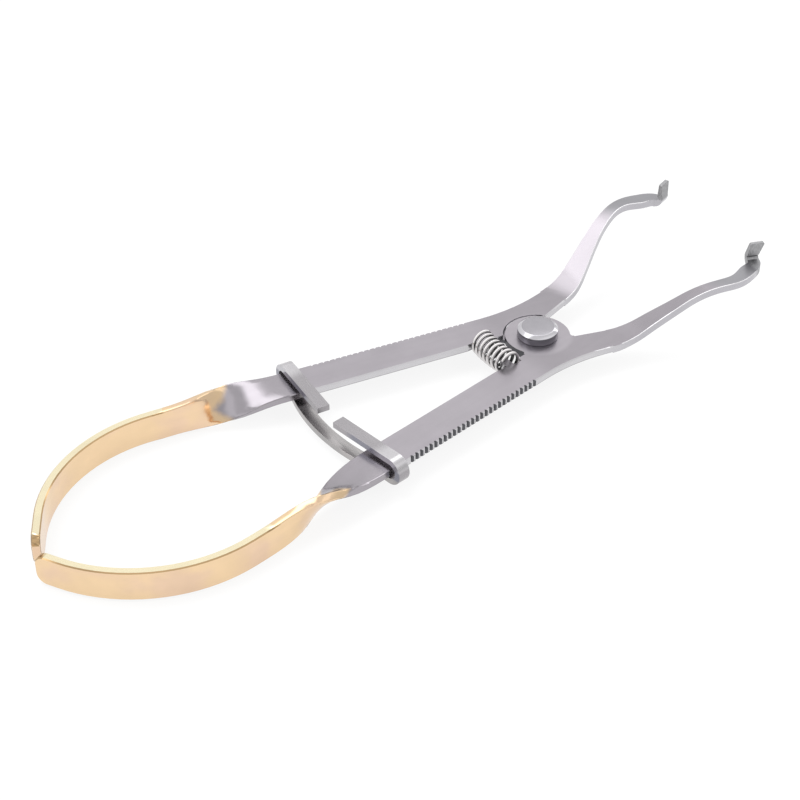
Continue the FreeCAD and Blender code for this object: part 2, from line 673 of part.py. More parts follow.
def spring():
    """Coil between the two handles, its axis across the tool."""
    length = 2 * (size("seatDepth") - size("seatGap") - size("wireRadius"))
    helix = doc.addObject("Part::Helix", "SpringPath")
    helix.Radius = size("coilRadius")
    helix.Height = length
    helix.Pitch = length / size("coilTurns")
    wire = doc.addObject("Sketcher::SketchObject", "SpringWire")
    wire.Placement = FreeCAD.Placement(V(size("coilRadius"), 0, 0), FreeCAD.Rotation(V(1, 0, 0), 90))
    centre = V(0, 0, 0)
    closePath(wire, polygon([corner(centre, size("wireRadius"), 60 * i) for i in range(6)]))
    coil = doc.addObject("Part::Sweep", "Spring")
    coil.Label = "spring"
    coil.Sections = [wire]
    coil.Spine = (helix, [])
    coil.Solid = True
    coil.Frenet = True
    z = size("headHeight") + HALF + size("springRise")
    coil.Placement = FreeCAD.Placement(V(size("springX"), length / 2, z), FreeCAD.Rotation(V(1, 0, 0), 90))
    return coil


def lockSlide():
    """Band wrapped round both handles: two tails above, two half-round hooks, one cross band below."""
    half, wide = size("bandThick") / 2, size("bandWidth") / 2
    level = HALF + size("bandGap") + half
    hook, tail, foot = size("hookCentre"), size("tailEnd"), size("footEnd")
    tilt = math.radians(size("lockTilt"))
    pieces = []
    for side in (UPPER, LOWER):
        name = "Upper" if side == UPPER else "Lower"
        out = V(math.sin(tilt), side * math.cos(tilt), 0)
        along = V(-math.cos(tilt), side * math.sin(tilt), 0)
        origin = V(size("lockX"), 0, 0) - along * wide
        profile = freeSketch("Lock" + name + "Hook", origin, out, V(0, 0, 1))
        outer, inner = level + half, level - half
        closePath(profile, [
            line(V(tail, inner, 0), V(hook, inner, 0)),
            arc(V(hook, inner, 0), V(hook + inner, 0, 0), V(hook, -inner, 0)),
            line(V(hook, -inner, 0), V(foot, -inner, 0)),
            line(V(foot, -inner, 0), V(foot, -outer, 0)),
            line(V(foot, -outer, 0), V(hook, -outer, 0)),
            arc(V(hook, -outer, 0), V(hook + outer, 0, 0), V(hook, outer, 0)),
            line(V(hook, outer, 0), V(tail, outer, 0)),
            line(V(tail, outer, 0), V(tail, inner, 0))])
        pieces.append(extrude("Lock" + name, profile, along, "Sizes.bandWidth"))
    centre = V(size("underX") + size("underRadius"), 0, 0)
    reach = math.degrees(math.asin(size("underReach") / size("underRadius")))
    far, near = size("underRadius") + wide, size("underRadius") - wide
    cross = freeSketch("LockCrossOutline", V(0, 0, -level - half), V(1, 0, 0), V(0, 1, 0))
    farEnds = [corner(centre, far, 180 + angle) for angle in (-reach, 0, reach)]
    nearEnds = [corner(centre, near, 180 + angle) for angle in (reach, 0, -reach)]
    closePath(cross, [arc(*farEnds), line(farEnds[2], nearEnds[0]),
                      arc(*nearEnds), line(nearEnds[2], farEnds[0])])
    pieces.append(extrude("LockCross", cross, V(0, 0, 1), "Sizes.bandThick"))
    slide = boolean("MultiFuse", "LockSlide", pieces)
    slide.Label = "lock_slide"
    centre = V(size("lockX"), 0, 0)
    skew = FreeCAD.Rotation(V(0, 0, 1), size("lockSkew"))
    slide.Placement = FreeCAD.Placement(V(0, 0, 0), skew, centre)
    slide.setExpression("Placement.Base.z", "Sizes.headHeight + Sizes.plateThick / 2")
    return slide


parts = [lever("upper_lever", UPPER), lever("lower_lever", LOWER), rivet(), spring(), lockSlide()]
doc.recompute()

for item in doc.Objects:
    if "Invalid" in item.State or "Error" in item.State:
        raise RuntimeError("failed: " + item.Name)

for item in parts:
    shape = item.Shape
    if shape.isNull() or not shape.isValid():
        raise RuntimeError("bad shape: " + item.Label)
    box = shape.BoundBox
    print("%s: %d solid, %.1f mm3, x %.2f..%.2f, y %.2f..%.2f, z %.2f..%.2f" % (
        item.Label, len(shape.Solids), shape.Volume, box.XMin, box.XMax, box.YMin, box.YMax, box.ZMin, box.ZMax))
    shape.exportStep("parts/%s.step" % item.Label)
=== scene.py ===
import bpy
import bmesh
from math import cos, pi, radians, sin
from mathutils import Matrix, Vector


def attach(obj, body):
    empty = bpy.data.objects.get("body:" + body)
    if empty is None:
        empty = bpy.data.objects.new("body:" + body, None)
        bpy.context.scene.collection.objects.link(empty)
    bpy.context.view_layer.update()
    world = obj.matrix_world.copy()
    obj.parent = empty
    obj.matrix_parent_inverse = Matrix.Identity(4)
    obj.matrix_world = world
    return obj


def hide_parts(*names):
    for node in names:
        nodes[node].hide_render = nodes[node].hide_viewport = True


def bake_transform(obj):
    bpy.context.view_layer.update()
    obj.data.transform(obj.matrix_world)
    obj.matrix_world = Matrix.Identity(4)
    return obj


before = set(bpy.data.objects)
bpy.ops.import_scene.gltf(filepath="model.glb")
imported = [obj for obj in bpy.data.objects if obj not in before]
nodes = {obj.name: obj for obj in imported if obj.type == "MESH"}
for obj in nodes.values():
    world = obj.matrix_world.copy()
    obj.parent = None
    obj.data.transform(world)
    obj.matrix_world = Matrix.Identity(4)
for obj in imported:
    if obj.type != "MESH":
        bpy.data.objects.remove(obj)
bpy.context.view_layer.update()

scene = bpy.context.scene
scene.view_settings.view_transform = "Standard"


def makeActive(piece):
    bpy.ops.object.select_all(action="DESELECT")
    piece.select_set(True)
    bpy.context.view_layer.objects.active = piece


# Camera, at the photograph's viewing angle

camera = {
    "target": (-0.03913, -0.00221, 0.00368),
    "back": (-0.4509, -0.6515, 0.6100),   # from the target to the lens
    "distance": 0.40051,
    "lens": 84.0,
    "sensor": 36,
    "nearest": 0.01,
}


def addCamera():
    back = Vector(camera["back"]).normalized()
    place = Vector(camera["target"]) + back * camera["distance"]
    bpy.ops.object.camera_add(location=place, rotation=back.to_track_quat("Z", "Y").to_euler())
    lensObject = bpy.context.object
    lensObject.data.lens = camera["lens"]
    lensObject.data.sensor_width = camera["sensor"]
    lensObject.data.clip_start = camera["nearest"]
    scene.camera = lensObject


# Short forms for shader nodes

def feed(tree, socket, value):
    # a number or a tuple is set on the socket, a node's output is linked to it
    if isinstance(value, (int, float)):
        socket.default_value = value
    elif isinstance(value, tuple):
        socket.default_value = (*value, 1) if socket.type == "RGBA" else value
    else:
        tree.links.new(value, socket)


def mathNode(tree, operation, a, b=None):
    node = tree.nodes.new("ShaderNodeMath")
    node.operation = operation
    feed(tree, node.inputs[0], a)
    if b is not None:
        feed(tree, node.inputs[1], b)
    return node.outputs[0]


def mapNode(tree, value, fromSpan, toSpan=(0.0, 1.0), smooth=False):
    node = tree.nodes.new("ShaderNodeMapRange")
    if smooth:
        node.interpolation_type = "SMOOTHSTEP"
    names = ("Value", "From Min", "From Max", "To Min", "To Max")
    for name, part in zip(names, (value, *fromSpan, *toSpan)):
        feed(tree, node.inputs[name], part)
    return node.outputs["Result"]


def mixColour(tree, share, a, b, blend="MIX"):
    node = tree.nodes.new("ShaderNodeMix")
    node.data_type = "RGBA"
    node.blend_type = blend
    for index, value in ((0, share), (6, a), (7, b)):
        feed(tree, node.inputs[index], value)
    return node.outputs[2]


def mixValue(tree, share, a, b):
    node = tree.nodes.new("ShaderNodeMix")
    for index, value in ((0, share), (2, a), (3, b)):
        feed(tree, node.inputs[index], value)
    return node.outputs[0]


def toned(tree, colour, tone):
    # the colour times a grey of that tone
    grey = tree.nodes.new("ShaderNodeCombineColor")
    for socket in grey.inputs:
        tree.links.new(tone, socket)
    return mixColour(tree, 1.0, colour, grey.outputs[0], "MULTIPLY")


def stretched(tree, vector, factors):
    node = tree.nodes.new("ShaderNodeVectorMath")
    node.operation = "MULTIPLY"
    tree.links.new(vector, node.inputs[0])
    feed(tree, node.inputs[1], factors)
    return node.outputs[0]


def noiseAt(tree, vector, scale, detail=3):
    noise = tree.nodes.new("ShaderNodeTexNoise")
    noise.inputs["Scale"].default_value = scale
    noise.inputs["Detail"].default_value = detail
    tree.links.new(vector, noise.inputs["Vector"])
    return noise.outputs["Fac"]


def objectSplit(tree):
    place = tree.nodes.new("ShaderNodeTexCoord")
    split = tree.nodes.new("ShaderNodeSeparateXYZ")
    tree.links.new(place.outputs["Object"], split.inputs[0])
    return place.outputs["Object"], split.outputs["X"], split.outputs["Y"], split.outputs["Z"]


# Studio: white floor, lamps, and a surround that the metal mirrors

studio = {
    "floorZ": -0.0024,
    "floorSize": 6.0,
    "floorColour": (0.85, 0.85, 0.85),
    "floorGlow": 0.85,      # share of plain white, for the camera and in reflections
    "lampSize": 0.5,
    "lampAim": (-0.03, 0, 0),
    "keyPlace": (-0.25, 0.35, 0.75),
    "keyPower": 3.0,
    "fillPlace": (0.35, -0.5, 0.6),
    "fillPower": 1.2,
    # long soft boxes along X: degrees from overhead, towards +Y, and brightness
    "surround": ((-92, 0.90), (-88, 0.72), (-57, 0.72), (-49, 0.85), (-43, 1.15), (-28, 1.15), (-20, 0.90),
                 (4, 0.85), (12, 2.40), (30, 2.40), (38, 1.08), (47, 1.05), (66, 1.00), (90, 0.85)),
}


def addLamp(name, place, power):
    aside = Vector(place) - Vector(studio["lampAim"])
    turn = aside.to_track_quat("Z", "Y").to_euler()
    bpy.ops.object.light_add(type="AREA", location=place, rotation=turn)
    lamp = bpy.context.object
    lamp.name = name
    lamp.data.size = studio["lampSize"]
    lamp.data.energy = power
    lamp.visible_glossy = False


def addFloor():
    bpy.ops.mesh.primitive_plane_add(size=studio["floorSize"], location=(0, 0, studio["floorZ"]))
    floor = bpy.context.object
    floor.name = "floor"
    material = bpy.data.materials.new("whiteFloor")
    material.use_nodes = True
    tree = material.node_tree
    tree.nodes.clear()
    output = tree.nodes.new("ShaderNodeOutputMaterial")
    diffuse = tree.nodes.new("ShaderNodeBsdfDiffuse")
    feed(tree, diffuse.inputs["Color"], studio["floorColour"])
    glow = tree.nodes.new("ShaderNodeEmission")
    path = tree.nodes.new("ShaderNodeLightPath")
    seen = mathNode(tree, "MAXIMUM", path.outputs["Is Camera Ray"], path.outputs["Is Glossy Ray"])
    mix = tree.nodes.new("ShaderNodeMixShader")
    tree.links.new(mathNode(tree, "MULTIPLY", seen, studio["floorGlow"]), mix.inputs["Fac"])
    tree.links.new(diffuse.outputs[0], mix.inputs[1])
    tree.links.new(glow.outputs[0], mix.inputs[2])
    tree.links.new(mix.outputs[0], output.inputs["Surface"])
    floor.data.materials.append(material)


def addSurround():
    world = bpy.data.worlds.new("studioWorld")
    scene.world = world
    world.use_nodes = True
    tree = world.node_tree
    background = tree.nodes["Background"]
    background.inputs["Color"].default_value = (1, 1, 1, 1)
    place = tree.nodes.new("ShaderNodeTexCoord")
    split = tree.nodes.new("ShaderNodeSeparateXYZ")
    tree.links.new(place.outputs["Generated"], split.inputs[0])
    slant = mathNode(tree, "ARCTAN2", split.outputs["Y"], split.outputs["Z"])
    ramp = tree.nodes.new("ShaderNodeValToRGB")
    tree.links.new(mapNode(tree, slant, (-pi, pi)), ramp.inputs["Fac"])
    brightest = max(level for _, level in studio["surround"])
    stops = ramp.color_ramp.elements
    while len(stops) < len(studio["surround"]):
        stops.new(1.0)
    for stop, (angle, level) in zip(stops, studio["surround"]):
        stop.position = (angle + 180) / 360
        stop.color = (*(3 * [level / brightest]), 1)
    strength = mathNode(tree, "MULTIPLY", ramp.outputs["Color"], brightest)
    tree.links.new(strength, background.inputs["Strength"])


def addStudio():
    addFloor()
    addLamp("keyLamp", studio["keyPlace"], studio["keyPower"])
    addLamp("fillLamp", studio["fillPlace"], studio["fillPower"])
    addSurround()


# Grain that every metal here shares

grain = {
    "noiseSpan": (0.3, 0.7),        # of a noise, taken as its lowest and highest
    "cloudScale": 160,
    "cloudTone": (0.97, 1.03),
    "roughnessSpread": (0.95, 1.05),
    "bumpDistance": 0.00002,
}


def brushedGroup():
    # fine grinding marks along each handle: tone factor, roughness and height
    group = bpy.data.node_groups.new("brushedGrain", "ShaderNodeTree")
    for name, kind, value in (("Stretch", "NodeSocketVector", (180, 2200, 2200)),
                              ("Roughness", "NodeSocketFloat", 0.3), ("Contrast", "NodeSocketFloat", 0.03)):
        socket = group.interface.new_socket(name, in_out="INPUT", socket_type=kind)
        socket.default_value = value
    for name in ("Tone", "Roughness", "Height"):
        group.interface.new_socket(name, in_out="OUTPUT", socket_type="NodeSocketFloat")
    source = group.nodes.new("NodeGroupInput")
    result = group.nodes.new("NodeGroupOutput")
    vector, x, y, z = objectSplit(group)
    # both handles slant away from X, so Y counts without its sign
    folded = group.nodes.new("ShaderNodeCombineXYZ")
    for socket, part in zip(folded.inputs, (x, mathNode(group, "ABSOLUTE", y), z)):
        group.links.new(part, socket)
    turned = group.nodes.new("ShaderNodeMapping")
    turned.inputs["Rotation"].default_value = (0, 0, radians(leverShape["handleTilt"]))
    group.links.new(folded.outputs[0], turned.inputs["Vector"])
    marks = noiseAt(group, stretched(group, turned.outputs[0], source.outputs["Stretch"]), 1, 4)
    clouds = noiseAt(group, vector, grain["cloudScale"])
    contrast = source.outputs["Contrast"]
    contrastSpan = (mathNode(group, "SUBTRACT", 1.0, contrast), mathNode(group, "ADD", 1.0, contrast))
    fine = mapNode(group, marks, grain["noiseSpan"], contrastSpan)
    broad = mapNode(group, clouds, grain["noiseSpan"], grain["cloudTone"])
    group.links.new(mathNode(group, "MULTIPLY", fine, broad), result.inputs["Tone"])
    spread = mapNode(group, marks, grain["noiseSpan"], grain["roughnessSpread"])
    roughness = mathNode(group, "MULTIPLY", spread, source.outputs["Roughness"])
    group.links.new(roughness, result.inputs["Roughness"])
    group.links.new(marks, result.inputs["Height"])
    return group


def newMaterial(name, colour, roughness):
    material = bpy.data.materials.new(name)
    material.use_nodes = True
    tree = material.node_tree
    shader = next(n for n in tree.nodes if n.type == "BSDF_PRINCIPLED")
    shader.inputs["Base Color"].default_value = (*colour, 1)
    shader.inputs["Metallic"].default_value = 1
    shader.inputs["Roughness"].default_value = roughness
    return material, tree, shader


def useGrain(tree, shader, group, stretch, contrast, bumpStrength=0.0):
    # the grain's roughness and height go to the shader; its tone and its sockets come back
    node = tree.nodes.new("ShaderNodeGroup")
    node.node_tree = group
    node.inputs["Stretch"].default_value = stretch
    node.inputs["Contrast"].default_value = contrast
    node.inputs["Roughness"].default_value = shader.inputs["Roughness"].default_value
    tree.links.new(node.outputs["Roughness"], shader.inputs["Roughness"])
    if bumpStrength > 0:
        bump = tree.nodes.new("ShaderNodeBump")
        bump.inputs["Strength"].default_value = bumpStrength
        bump.inputs["Distance"].default_value = grain["bumpDistance"]
        tree.links.new(node.outputs["Height"], bump.inputs["Height"])
        tree.links.new(bump.outputs["Normal"], shader.inputs["Normal"])
    return node.outputs["Tone"], node.inputs


def plainMaterial(name, colour, roughness, group, stretch, contrast=0.03, bumpStrength=0.05):
    material, tree, shader = newMaterial(name, colour, roughness)
    tone, _ = useGrain(tree, shader, group, stretch, contrast, bumpStrength)
    tree.links.new(toned(tree, colour, tone), shader.inputs["Base Color"])
    return material


# Finishes of the levers, and the light and shade painted on them; pairs are where a change begins and ends,
# along X unless noted

leverFinishAndPaintedLight = {
    "steelColour": (0.39, 0.366, 0.395),
    "steelRoughness": 0.30,
    "stretch": (70, 900, 900),
    "contrast": 0.012,
    # the sides are polished, and also painted lighter than the steel: a painted reflection, weaker on the jaws
    "sideColour": (0.60, 0.59, 0.61),
    "jawSideColour": (0.50, 0.49, 0.52),
    "sideRoughness": 0.24,
    # the arrises are painted lighter than the steel, a painted highlight, brightest on the jaws
    "arrisHighlightColour": (0.56, 0.55, 0.57),
    "jawArrisHighlightColour": (0.75, 0.74, 0.76),
    "arrisRoughness": 0.3,
    "jawStart": (0.006, 0.018),
    "middle": (-0.001, 0.001),      # across Y, from the lower to the upper lever
    # painted shade in the tooth gaps and on the walls of the joint
    "gapShadeColour": (0.13, 0.13, 0.14),
    "gapRoughness": 0.5,
    "gapStretch": (1500, 1500, 1500),
    # round the joint, outside its raised boss
    "neckTone": 0.86,
    "neckBoss": (0.0073, 0.0083),   # from the pivot
    "neckBack": (-0.012, -0.004),
    "neckFront": (0.013, 0.019),
    # jaws
    "inclineStart": (0.0185, 0.0205),
    "inclineEnd": (0.0305, 0.0335),
    "inclineRoughness": 0.16,
    "hookStart": (0.0325, 0.0375),
    "hookColour": (0.315, 0.312, 0.33),
    # painted shade: a dark line along the sides' lower edge
    "lowEdgeShadeTone": 0.42,
    "lowEdgeShadeHeights": (0.00212, 0.00230),
    "lowEdgeShadeFade": (0.006, 0.011),
    # mirror-like stretch from the lock to the bows
    "polishedStart": (-0.052, -0.060),
    "polishedRoughness": 0.2,
    # plating starts at x = at + slope * |z - middle|, for the upper and the lower lever
    "platingUpper": (-0.0725, 1.1, 0.0022),
    "platingLower": (-0.0712, 3.0, 0.0026),
    "platingBlur": 0.0015,
    "waveScale": 260,
    "waveDepth": 0.0008,
    "goldColour": (0.86, 0.635, 0.40),
    "goldShade": (0.78, 0.56, 0.43),
    "goldRoughness": 0.16,
    "mottleScale": 110,
    "mottleSpan": (0.42, 0.68),     # of the noise
    "mottleShare": 0.6,
    # painted highlight: the bows' flat top and bottom edges are paler than the gold
    "goldEdgeHighlightColour": (0.87, 0.78, 0.55),
    "goldEdgeRoughness": 0.2,
    # painted dark reflection along the chamfers of the bows
    "goldLineDarkReflectionColour": (0.50, 0.34, 0.18),
    # ground dull at the tips
    "tipColour": (0.41, 0.41, 0.42),
    "tipRoughness": 0.42,
    "tipStart": (0.0466, 0.0472),   # on the lower jaw
    "tipFoot": (0.0147, 0.0150),    # in height, on both jaws
    "scratchStretch": (5200, 5200, 1300),
    "scratchSpan": (0.35, 0.65),    # of the noise
    "scratchTone": (0.72, 1.0),
}


def hookAndNeck(tree, x, y, colour):
    # darker past the jaw's incline, duller round the joint
    onHook = mapNode(tree, x, leverFinishAndPaintedLight["hookStart"], smooth=True)
    colour = mixColour(tree, onHook, colour, leverFinishAndPaintedLight["hookColour"])
    flat = tree.nodes.new("ShaderNodeCombineXYZ")
    tree.links.new(x, flat.inputs[0])
    tree.links.new(y, flat.inputs[1])
    reach = tree.nodes.new("ShaderNodeVectorMath")
    reach.operation = "LENGTH"
    tree.links.new(flat.outputs[0], reach.inputs[0])
    around = mapNode(tree, reach.outputs["Value"], leverFinishAndPaintedLight["neckBoss"])
    ahead = mapNode(tree, x, leverFinishAndPaintedLight["neckBack"], smooth=True)
    before = mapNode(tree, x, leverFinishAndPaintedLight["neckFront"], (1.0, 0.0), smooth=True)
    onNeck = mathNode(tree, "MULTIPLY", around, mathNode(tree, "MULTIPLY", ahead, before))
    neckColour = tuple(part * leverFinishAndPaintedLight["neckTone"] for part in leverFinishAndPaintedLight["steelColour"])
    return mixColour(tree, onNeck, colour, neckColour)


def platedMask(tree, waved, z, upper):
    # 1 on the plating, which has a boundary of its own on each lever
    starts = []
    for at, slope, middle in (leverFinishAndPaintedLight["platingUpper"], leverFinishAndPaintedLight["platingLower"]):
        away = mathNode(tree, "ABSOLUTE", mathNode(tree, "SUBTRACT", z, middle))
        starts.append(mathNode(tree, "ADD", mathNode(tree, "MULTIPLY", away, slope), at))
    upperX, lowerX = starts
    past = mathNode(tree, "SUBTRACT", waved, mixValue(tree, upper, lowerX, upperX))
    blur = leverFinishAndPaintedLight["platingBlur"]
    return mapNode(tree, past, (blur, -blur), smooth=True)


def groundMask(tree, waved, z, upper):
    # 1 on both turned-up tips, and on the lower jaw's end
    lower = mathNode(tree, "SUBTRACT", 1.0, upper)
    palm = mathNode(tree, "MULTIPLY", mapNode(tree, waved, leverFinishAndPaintedLight["tipStart"]), lower)
    return mathNode(tree, "MAXIMUM", palm, mapNode(tree, z, leverFinishAndPaintedLight["tipFoot"]))


def leverMaterial(name, handleColour, jawColour, goldColour, roughness, group):
    # steel that turns to gold plating behind the lock, and is ground dull at the tip
    material, tree, shader = newMaterial(name, handleColour, roughness)
    tone, grainInputs = useGrain(tree, shader, group, leverFinishAndPaintedLight["stretch"], leverFinishAndPaintedLight["contrast"])
    vector, x, y, z = objectSplit(tree)
    upper = mapNode(tree, y, leverFinishAndPaintedLight["middle"])
    colour = mixColour(tree, mapNode(tree, x, leverFinishAndPaintedLight["jawStart"]), handleColour, jawColour)
    if handleColour == leverFinishAndPaintedLight["steelColour"]:
        colour = hookAndNeck(tree, x, y, colour)
    if handleColour == leverFinishAndPaintedLight["sideColour"]:
        # painted shade along the sides' lower edge, fading out towards the jaws
        edgeShade = mapNode(tree, x, leverFinishAndPaintedLight["lowEdgeShadeFade"], (leverFinishAndPaintedLight["lowEdgeShadeTone"], 1.0))
        colour = toned(tree, colour, mapNode(tree, z, leverFinishAndPaintedLight["lowEdgeShadeHeights"], (edgeShade, 1.0)))

    depth = leverFinishAndPaintedLight["waveDepth"]
    ripple = noiseAt(tree, vector, leverFinishAndPaintedLight["waveScale"])
    waved = mathNode(tree, "ADD", x, mapNode(tree, ripple, grain["noiseSpan"], (-depth, depth)))
    plated = platedMask(tree, waved, z, upper)
    ground = groundMask(tree, waved, z, upper)

    gold = goldColour
    if goldColour == leverFinishAndPaintedLight["goldColour"]:
        mottle = mapNode(tree, noiseAt(tree, vector, leverFinishAndPaintedLight["mottleScale"], 2), leverFinishAndPaintedLight["mottleSpan"],
                         (0.0, leverFinishAndPaintedLight["mottleShare"]), smooth=True)
        gold = mixColour(tree, mottle, goldColour, leverFinishAndPaintedLight["goldShade"])
    scratches = noiseAt(tree, stretched(tree, vector, leverFinishAndPaintedLight["scratchStretch"]), 1)
    scratchTone = mapNode(tree, scratches, leverFinishAndPaintedLight["scratchSpan"], leverFinishAndPaintedLight["scratchTone"])
    tipMetal = toned(tree, leverFinishAndPaintedLight["tipColour"], scratchTone)
    metal = mixColour(tree, plated, mixColour(tree, ground, colour, tipMetal), gold)
    tree.links.new(toned(tree, metal, tone), shader.inputs["Base Color"])

    # both jaws' inclines are polished, and so is the stretch from the lock to the bows
    onIncline = mathNode(tree, "MULTIPLY", mapNode(tree, x, leverFinishAndPaintedLight["inclineStart"], smooth=True),
                         mapNode(tree, x, leverFinishAndPaintedLight["inclineEnd"], (1.0, 0.0), smooth=True))
    jawRough = mixValue(tree, onIncline, roughness, leverFinishAndPaintedLight["inclineRoughness"])
    polished = mapNode(tree, x, leverFinishAndPaintedLight["polishedStart"], smooth=True)
    steelRough = mixValue(tree, polished, jawRough, leverFinishAndPaintedLight["polishedRoughness"])
    tipRough = mixValue(tree, ground, steelRough, leverFinishAndPaintedLight["tipRoughness"])
    tree.links.new(mixValue(tree, plated, tipRough, leverFinishAndPaintedLight["goldRoughness"]), grainInputs["Roughness"])
    return material


def makeLeverMaterials(group):
    # in the order of leverSlot's numbers
    steel, gold, edge = [leverFinishAndPaintedLight[key] for key in ("steelColour", "goldColour", "goldEdgeHighlightColour")]
    return [
        leverMaterial("satinSteel", steel, steel, gold, leverFinishAndPaintedLight["steelRoughness"], group),
        leverMaterial("polishedSidesPaintedSheen", leverFinishAndPaintedLight["sideColour"], leverFinishAndPaintedLight["jawSideColour"], gold,
                      leverFinishAndPaintedLight["sideRoughness"], group),
        plainMaterial("shadedGaps", leverFinishAndPaintedLight["gapShadeColour"], leverFinishAndPaintedLight["gapRoughness"], group,
                      leverFinishAndPaintedLight["gapStretch"]),
        leverMaterial("arrisesPaintedLight", leverFinishAndPaintedLight["arrisHighlightColour"], leverFinishAndPaintedLight["jawArrisHighlightColour"],
                      leverFinishAndPaintedLight["goldLineDarkReflectionColour"], leverFinishAndPaintedLight["arrisRoughness"], group),
        leverMaterial("bowEdgeHighlights", steel, steel, edge, leverFinishAndPaintedLight["goldEdgeRoughness"], group),
    ]


# Shapes shared by the pieces

mergeDistance = 0.000002
flatAngle = 0.4     # degrees between faces that are joined to one


def copyOfNode(nodeName):
    # the node's mesh as a piece of its own, its loose triangles joined to clean faces
    source = nodes[nodeName]
    mesh = source.data.copy()
    mesh.transform(source.matrix_world)
    mesh.materials.clear()
    piece = bpy.data.objects.new(nodeName + "Finish", mesh)
    scene.collection.objects.link(piece)
    makeActive(piece)
    bpy.ops.object.mode_set(mode="EDIT")
    bpy.ops.mesh.select_all(action="SELECT")
    bpy.ops.mesh.remove_doubles(threshold=mergeDistance)
    bpy.ops.mesh.dissolve_limited(angle_limit=radians(flatAngle))
    bpy.ops.object.mode_set(mode="OBJECT")
    return piece


def softenEdges(piece, width, segments, limit=None, slot=-1, smooth=30):
    # bevels the edges sharper than the limit, or without one the edges marked with a weight
    makeActive(piece)
    bevel = piece.modifiers.new("edges", "BEVEL")
    bevel.width = width
    bevel.segments = segments
    if limit is None:
        bevel.limit_method = "WEIGHT"
    else:
        bevel.limit_method = "ANGLE"
        bevel.angle_limit = radians(limit)
    bevel.use_clamp_overlap = limit is not None
    bevel.material = slot
    bpy.ops.object.modifier_apply(modifier=bevel.name)
    bpy.ops.object.shade_smooth_by_angle(angle=radians(smooth))
    weights = piece.modifiers.new("shading", "WEIGHTED_NORMAL")
    weights.keep_sharp = True
    bpy.ops.object.modifier_apply(modifier=weights.name)


# Levers

leverShape = {
    "bevel": 0.00015,
    "sharpAngle": 50,
    "sideLimit": 0.6,       # upright part of the normal below which a face counts as a side
    "sideEnd": -0.056,
    "chamfer": (0.6, 0.85),     # upright part of the normal on the plates' chamfers
    "bowChamfer": 0.3,
    "bowEdge": 0.95,
    "seatReach": 0.0092,    # walls of the joint that lie in shade, from the pivot
    "seatX": -0.003,
    "seatY": 0.007,
    "teeth": (0.0128, 0.0522),      # along the handle, from the pivot
    "toothRoots": (0.0105, 0.01118),    # square to the handle, from the pivot
    "handleTilt": 9.5,
    "jawSpan": (0.0132, 0.0462),
    "bowStart": 0.086,
    "plateEnd": 0.054,
    "neckEnd": 0.015,
}

tip = {
    "x": 0.0491,
    "y": 0.0153,
    "behind": 0.045,
    "heading": 69.5,
    "foot": 0.0151,
    "top": 0.0185,
    "thinner": 0.0007,
}


def thinTip(mesh, side):
    # the turned-up tip gets thinner towards its top, on the inner side
    outward = Vector((-cos(radians(tip["heading"])), side * sin(radians(tip["heading"])), 0))
    middle = Vector((tip["x"], side * tip["y"], 0))
    for vertex in mesh.vertices:
        height = (vertex.co.z - tip["foot"]) / (tip["top"] - tip["foot"])
        depth = (vertex.co - middle).dot(outward)
        if vertex.co.x > tip["behind"] and height > 0 and depth < 0:
            vertex.co += outward * tip["thinner"] * height


def markJawEdges(mesh):
    # only the jaws' sharp edges get an arris; the plates and bows have theirs
    shape = bmesh.new()
    shape.from_mesh(mesh)
    weight = shape.edges.layers.float.new("bevel_weight_edge")
    first, last = leverShape["jawSpan"]
    for edge in shape.edges:
        a, b = [vertex.co for vertex in edge.verts]
        onJaw = first < min(a.x, b.x) and max(a.x, b.x) < last and len(edge.link_faces) == 2
        if onJaw and edge.calc_face_angle() > radians(leverShape["sharpAngle"]):
            edge[weight] = 1
    shape.to_mesh(mesh)
    shape.free()


def leverSlot(face):
    # 0 flat, 1 side with a painted sheen, 2 tooth gap or wall in the joint with painted shade, 3 arris with
    # painted highlights and dark reflections, 4 edge of a bow with a painted highlight
    upright = abs(face.normal.z)
    x, y, _ = face.center
    tilt = radians(leverShape["handleTilt"])
    along = abs(y) * sin(tilt) - x * cos(tilt)
    out = x * sin(tilt) + abs(y) * cos(tilt)
    (first, last), (root, rim) = leverShape["teeth"], leverShape["toothRoots"]
    low, high = leverShape["chamfer"]
    if along > leverShape["bowStart"]:
        return 4 if upright > leverShape["bowEdge"] else 3 if upright > leverShape["bowChamfer"] else 0
    if along < leverShape["plateEnd"] and x < leverShape["neckEnd"] and low < upright < high:
        return 3
    if upright > leverShape["sideLimit"]:
        return 0
    if first < along < last and root < out < rim:
        return 2
    inSeat = x < leverShape["seatX"] and abs(y) < leverShape["seatY"]
    if inSeat and Vector((x, y)).length < leverShape["seatReach"]:
        return 2
    return 1 if x > leverShape["sideEnd"] else 0


def addLever(nodeName, side, materials):
    piece = copyOfNode(nodeName)
    thinTip(piece.data, side)
    for material in materials:
        piece.data.materials.append(material)
    for face in piece.data.polygons:
        face.material_index = leverSlot(face)
    markJawEdges(piece.data)
    softenEdges(piece, leverShape["bevel"], 2, slot=3)
    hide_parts(nodeName)
    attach(piece, nodeName)


# Rivet

